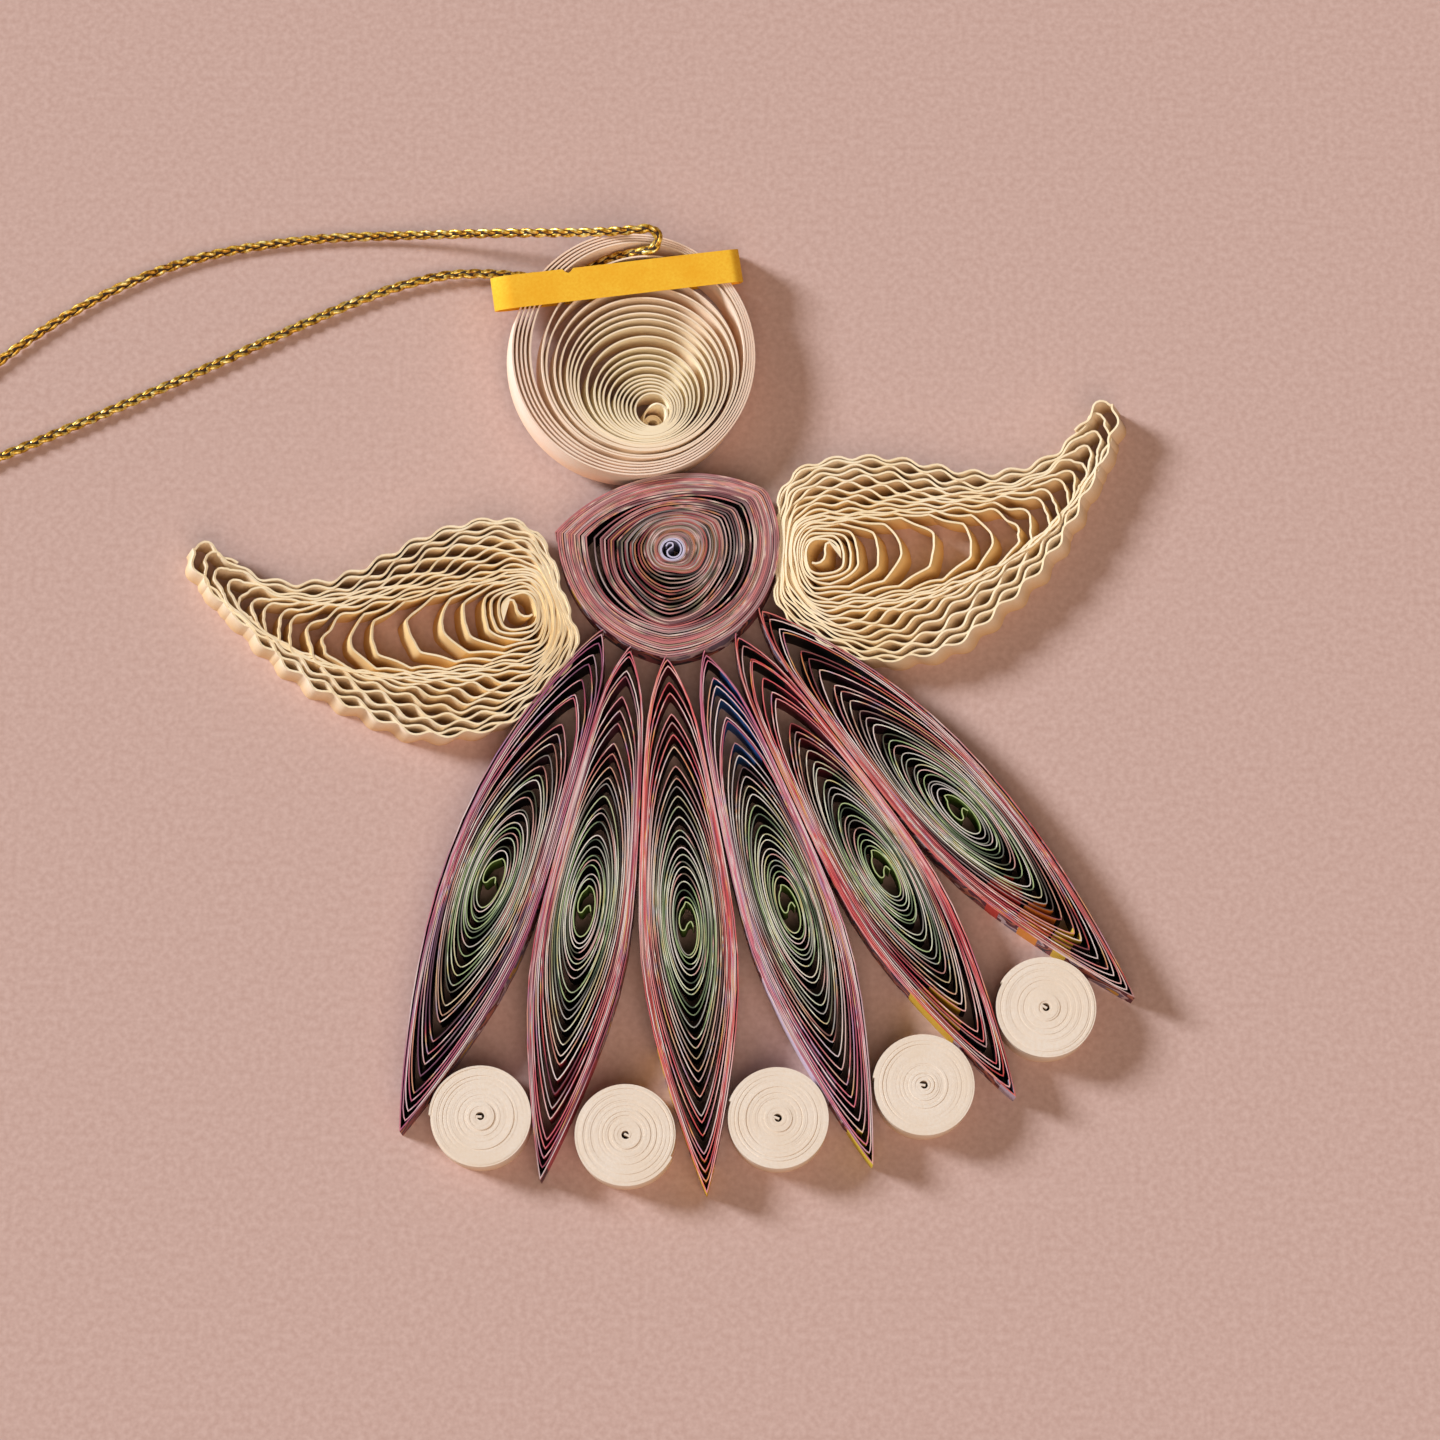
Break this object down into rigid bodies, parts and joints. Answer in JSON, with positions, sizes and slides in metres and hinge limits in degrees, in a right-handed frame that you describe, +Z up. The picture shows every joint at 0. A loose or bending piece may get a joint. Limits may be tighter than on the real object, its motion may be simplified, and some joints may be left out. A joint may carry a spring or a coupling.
{
  "type": "quilled paper angel ornament",
  "caption": "Quilled paper angel lying on its back: coiled body and head, crimped wings, a fan of long petals with rolled discs at the hem, a paper halo and a knotted gold cord.",
  "frame": {"origin": "under the middle of the paper pieces, on the surface that they lie on", "axes": "+Z up out of the surface, +Y towards the head and the halo, +X towards the right wing as seen from above"},
  "size_m": [0.1255, 0.0836, 0.0054],
  "materials": {
    "print_paper": "matt recycled printed paper strip, grey and pink edges",
    "cream_paper": "matt uncoated cream paper strip",
    "wing_paper": "matt cream-yellow paper strip, crimped",
    "halo_paper": "smooth yellow paper strip",
    "gold_braid": "gold film braid over a dark core"
  },
  "bodies": {
    "root": {"body_coil": "print_paper", "cord_knot": "gold_braid", "halo": "halo_paper", "hanging_cord": "gold_braid", "head_coil": "cream_paper", "hem_disc_1": "cream_paper", "hem_disc_2": "cream_paper", "hem_disc_3": "cream_paper", "hem_disc_4": "cream_paper", "hem_disc_5": "cream_paper", "left_wing": "wing_paper", "petal_1": "print_paper", "petal_2": "print_paper", "petal_3": "print_paper", "petal_4": "print_paper", "petal_5": "print_paper", "petal_6": "print_paper", "right_wing": "wing_paper"}
  },
  "joints": []
}
